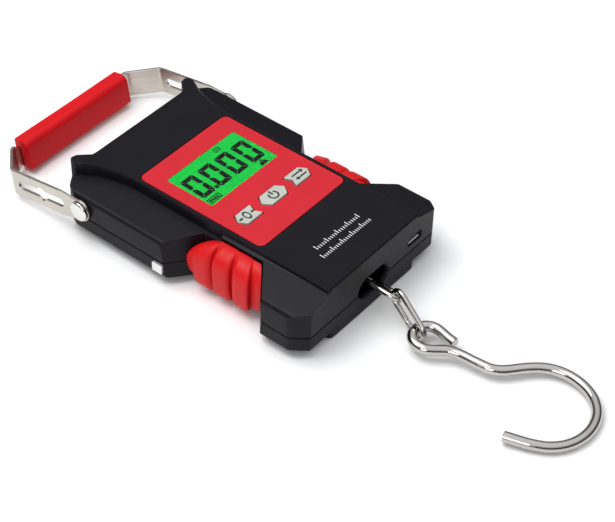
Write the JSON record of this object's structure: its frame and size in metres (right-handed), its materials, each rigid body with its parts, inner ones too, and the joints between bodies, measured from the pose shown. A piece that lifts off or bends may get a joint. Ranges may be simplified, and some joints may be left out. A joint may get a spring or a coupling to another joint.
{
  "type": "digital hanging scale",
  "caption": "Hand-held digital hanging scale with a fold-over bow handle, side grips, backlit display, keys, and a hook on a short chain.",
  "frame": {"origin": "on the flat of the back, which the scale rests on, under the middle of the red display panel", "axes": "+X to the right when the display is read, +Y towards the bow handle, +Z out of the display; the hook lies towards -Y"},
  "size_m": [0.091, 0.2588, 0.0271],
  "materials": {
    "black_plastic": "satin moulded black",
    "back_plastic": "satin moulded black",
    "red_panel": "smooth red overlay",
    "clear_window": "clear acrylic",
    "lcd_green": "lit green display glass",
    "backlight": "milky light guide",
    "key_plastic": "pale grey-green key",
    "switch_plastic": "dark grey",
    "circuit_board": "green solder mask",
    "screw_steel": "zinc plated",
    "socket_metal": "nickel plated",
    "battery_wrap": "foil pouch",
    "beam_aluminium": "machined",
    "hook_chrome": "bright chrome plated wire",
    "grip_rubber": "soft red rubber",
    "bow_steel": "satin nickel",
    "handle_rubber": "smooth red rubber sleeve",
    "rivet_chrome": "polished",
    "tape_yellow": "coated steel tape"
  },
  "bodies": {
    "housing": {"front_housing": "black_plastic", "rear_housing": "back_plastic", "face_panel": "red_panel", "display_window": "clear_window", "lcd_glass": "lcd_green", "backlight_panel": "backlight", "tare_switch": "switch_plastic", "power_switch": "switch_plastic", "unit_switch": "switch_plastic", "main_board": "circuit_board", "board_screw_right": "screw_steel", "board_screw_left": "screw_steel", "charge_board": "circuit_board", "usb_socket": "socket_metal", "battery_cell": "battery_wrap", "load_cell_beam": "beam_aluminium", "load_cell_bolt_front": "screw_steel", "load_cell_bolt_rear": "screw_steel", "anchor_eye": "hook_chrome", "side_grip_right": "grip_rubber", "side_grip_left": "grip_rubber", "pivot_rivet_right": "rivet_chrome", "pivot_rivet_left": "rivet_chrome", "return_spring": "bow_steel", "reel_spindle": "screw_steel", "housing_screw_upper_right": "screw_steel", "housing_screw_upper_left": "screw_steel", "housing_screw_lower_right": "screw_steel", "housing_screw_lower_left": "screw_steel"},
    "bow": {"bow_strip": "bow_steel", "bow_grip": "handle_rubber"},
    "tare_button": {"tare_key": "key_plastic"},
    "power_button": {"power_key": "key_plastic"},
    "unit_button": {"unit_key": "key_plastic"},
    "upper_link": {"chain_link_upper": "hook_chrome"},
    "lower_link": {"chain_link_lower": "hook_chrome"},
    "hook_body": {"hook": "hook_chrome"},
    "reel": {"tape_reel": "switch_plastic", "tape_coil": "tape_yellow"},
    "tape_end": {"tape_leader": "tape_yellow", "tape_tab": "socket_metal"}
  },
  "joints": [
    {"name": "bow_fold", "type": "hinge", "parent": "housing", "child": "bow", "pos_m": [0, 0.0446, 0.0143], "axis": [1, 0, 0], "range_deg": [-144, 162]},
    {"name": "tare_press", "type": "slide", "parent": "housing", "child": "tare_button", "axis": [0, 0, -1], "range_m": [0, 0.0006], "stiffness_N_per_m": 1500, "springref_m": -0.0003},
    {"name": "power_press", "type": "slide", "parent": "housing", "child": "power_button", "axis": [0, 0, -1], "range_m": [0, 0.0006], "stiffness_N_per_m": 1500, "springref_m": -0.0003},
    {"name": "unit_press", "type": "slide", "parent": "housing", "child": "unit_button", "axis": [0, 0, -1], "range_m": [0, 0.0006], "stiffness_N_per_m": 1500, "springref_m": -0.0003},
    {"name": "upper_link_swing", "type": "hinge", "parent": "housing", "child": "upper_link", "pos_m": [0, -0.0589, 0.0112], "axis": [0.5, 0, 0.866], "range_deg": [-15, 15]},
    {"name": "lower_link_swing", "type": "hinge", "parent": "upper_link", "child": "lower_link", "pos_m": [-0.00049, -0.07634, 0.01077], "axis": [0.9627, -0.2245, -0.1511], "range_deg": [-60, 60]},
    {"name": "hook_swing", "type": "hinge", "parent": "lower_link", "child": "hook_body", "pos_m": [-0.00525, -0.09049, 0.00357], "axis": [-0.028, -0.1265, 0.9916], "range_deg": [-60, 60]},
    {"name": "reel_spin", "type": "hinge", "parent": "housing", "child": "reel", "pos_m": [-0.023, 0.0173, 0.0073], "axis": [0, 0, 1], "range_deg": [-157, 0]},
    {"name": "tape_pull", "type": "slide", "parent": "housing", "child": "tape_end", "axis": [-1, 0, 0], "range_m": [0, 0.03], "stiffness_N_per_m": 20, "springref_m": -0.05}
  ],
  "couplings": [
    {"joint": "reel_spin", "follows": "tape_pull", "rad_per_m": -90.909}
  ]
}
